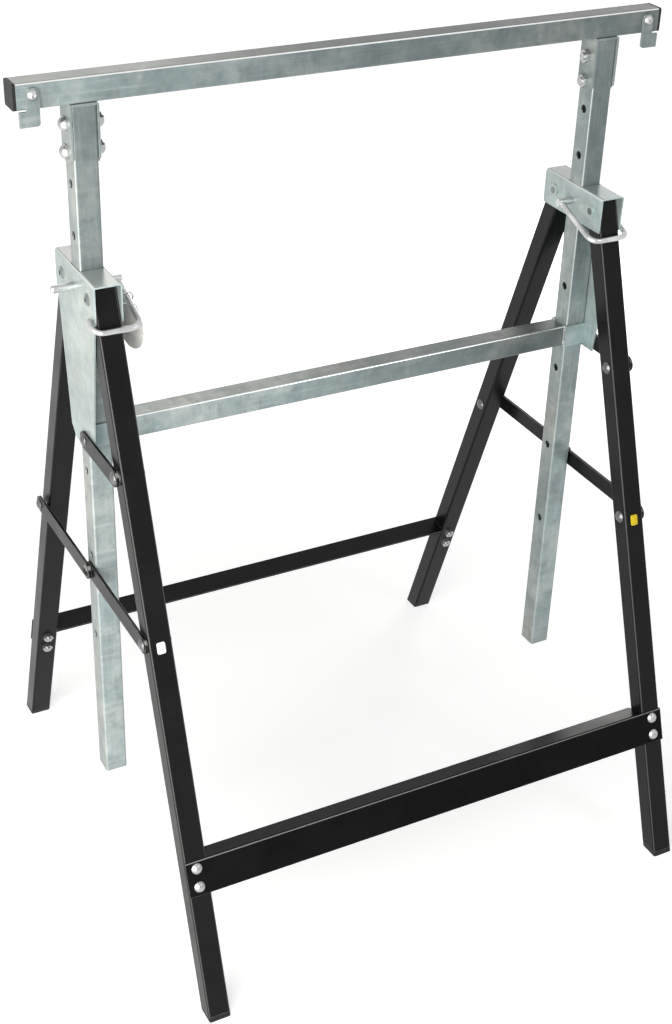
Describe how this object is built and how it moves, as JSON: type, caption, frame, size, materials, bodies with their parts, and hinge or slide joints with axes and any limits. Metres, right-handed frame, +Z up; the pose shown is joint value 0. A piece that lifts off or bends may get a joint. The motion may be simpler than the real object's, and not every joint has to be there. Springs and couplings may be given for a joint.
{
  "type": "builders trestle",
  "caption": "Folding steel builders trestle: square rail on perforated uprights that slide in pinned head brackets over hinged A-frame legs.",
  "frame": {"origin": "on the floor, under the middle of the rail", "axes": "+X along the rail, -Y towards the front legs, +Z up"},
  "size_m": [0.69, 0.5834, 0.9],
  "materials": {
    "galvanised": "hot galvanised, mottled",
    "zinc": "bright zinc plate",
    "enamel": "semi-gloss black",
    "plastic": "matte",
    "tag": "dull"
  },
  "bodies": {
    "frame": {"head_bracket_l": "galvanised", "head_bracket_r": "galvanised", "guide_collar_l": "galvanised", "guide_collar_r": "galvanised", "crossbar": "galvanised", "front_leg_l": "enamel", "front_leg_r": "enamel", "front_foot_l": "plastic", "front_foot_r": "plastic", "front_bar": "enamel", "front_bar_bolts": "zinc", "front_bar_nuts": "zinc", "front_leg_bolts": "zinc", "front_leg_nuts": "zinc", "strut_l": "enamel", "strut_r": "enamel", "strut_studs": "zinc", "strut_rivets": "zinc", "strut_spacers": "zinc", "stay_front_rivets": "enamel", "rear_pivot_bolts": "zinc", "rear_pivot_nuts": "zinc"},
    "mast": {"rail": "galvanised", "rail_cap_l": "plastic", "rail_cap_r": "plastic", "upright_l": "galvanised", "upright_r": "galvanised", "saddle_l": "galvanised", "saddle_r": "galvanised", "saddle_bolts": "zinc", "saddle_nuts": "zinc", "stop_screws": "zinc"},
    "rear_frame": {"rear_leg_l": "enamel", "rear_leg_r": "enamel", "rear_foot_l": "plastic", "rear_foot_r": "plastic", "rear_bar": "enamel", "rear_bar_bolts": "zinc", "rear_bar_nuts": "zinc", "stay_rear_rivets": "enamel", "stay_spacers": "zinc"},
    "stay_front": {"stay_front_l": "enamel", "stay_front_r": "enamel"},
    "stay_rear": {"stay_rear_l": "enamel", "stay_rear_r": "enamel", "stay_joint_l": "enamel", "stay_joint_r": "enamel"},
    "bail_l": {"bail_l": "zinc", "tag_ring": "zinc", "pin_tag": "tag"},
    "bail_r": {"bail_r": "zinc"},
    "pin_l": {"lock_pin_l": "zinc"},
    "pin_r": {"lock_pin_r": "zinc"},
    "stop_l": {"stop_l": "galvanised"},
    "stop_r": {"stop_r": "galvanised"}
  },
  "joints": [
    {"name": "mast_height", "type": "slide", "parent": "frame", "child": "mast", "axis": [0, 0, 1], "range_m": [-0.1, 0.4]},
    {"name": "rear_fold", "type": "hinge", "parent": "frame", "child": "rear_frame", "pos_m": [0, 0.0345, 0.7], "axis": [-1, 0, 0], "range_deg": [0, 19.3]},
    {"name": "stay_front_swing", "type": "hinge", "parent": "frame", "child": "stay_front", "pos_m": [0, -0.14603, 0.38199], "axis": [1, 0, 0], "range_deg": [0, 46.03]},
    {"name": "stay_rear_swing", "type": "hinge", "parent": "rear_frame", "child": "stay_rear", "pos_m": [0, 0.14603, 0.38199], "axis": [-1, 0, 0], "range_deg": [0, 38.73]},
    {"name": "bail_swing_l", "type": "hinge", "parent": "frame", "child": "bail_l", "pos_m": [-0.2525, 0, 0.7], "axis": [-1, 0, 0], "range_deg": [0, 75]},
    {"name": "bail_swing_r", "type": "hinge", "parent": "frame", "child": "bail_r", "pos_m": [0.2525, 0, 0.7], "axis": [-1, 0, 0], "range_deg": [0, 75]},
    {"name": "pin_push_l", "type": "slide", "parent": "frame", "child": "pin_l", "axis": [1, 0, 0], "range_m": [0, 0.018]},
    {"name": "pin_push_r", "type": "slide", "parent": "frame", "child": "pin_r", "axis": [-1, 0, 0], "range_m": [0, 0.018]},
    {"name": "stop_turn_l", "type": "hinge", "parent": "mast", "child": "stop_l", "pos_m": [-0.328, -0.0137, 0.89], "axis": [0, 1, 0], "range_deg": [0, 180]},
    {"name": "stop_turn_r", "type": "hinge", "parent": "mast", "child": "stop_r", "pos_m": [0.328, -0.0137, 0.89], "axis": [0, -1, 0], "range_deg": [0, 180]}
  ],
  "couplings": [
    {"joint": "stay_front_swing", "follows": "rear_fold", "ratio": 2.3592},
    {"joint": "stay_rear_swing", "follows": "rear_fold", "ratio": 1.981}
  ]
}
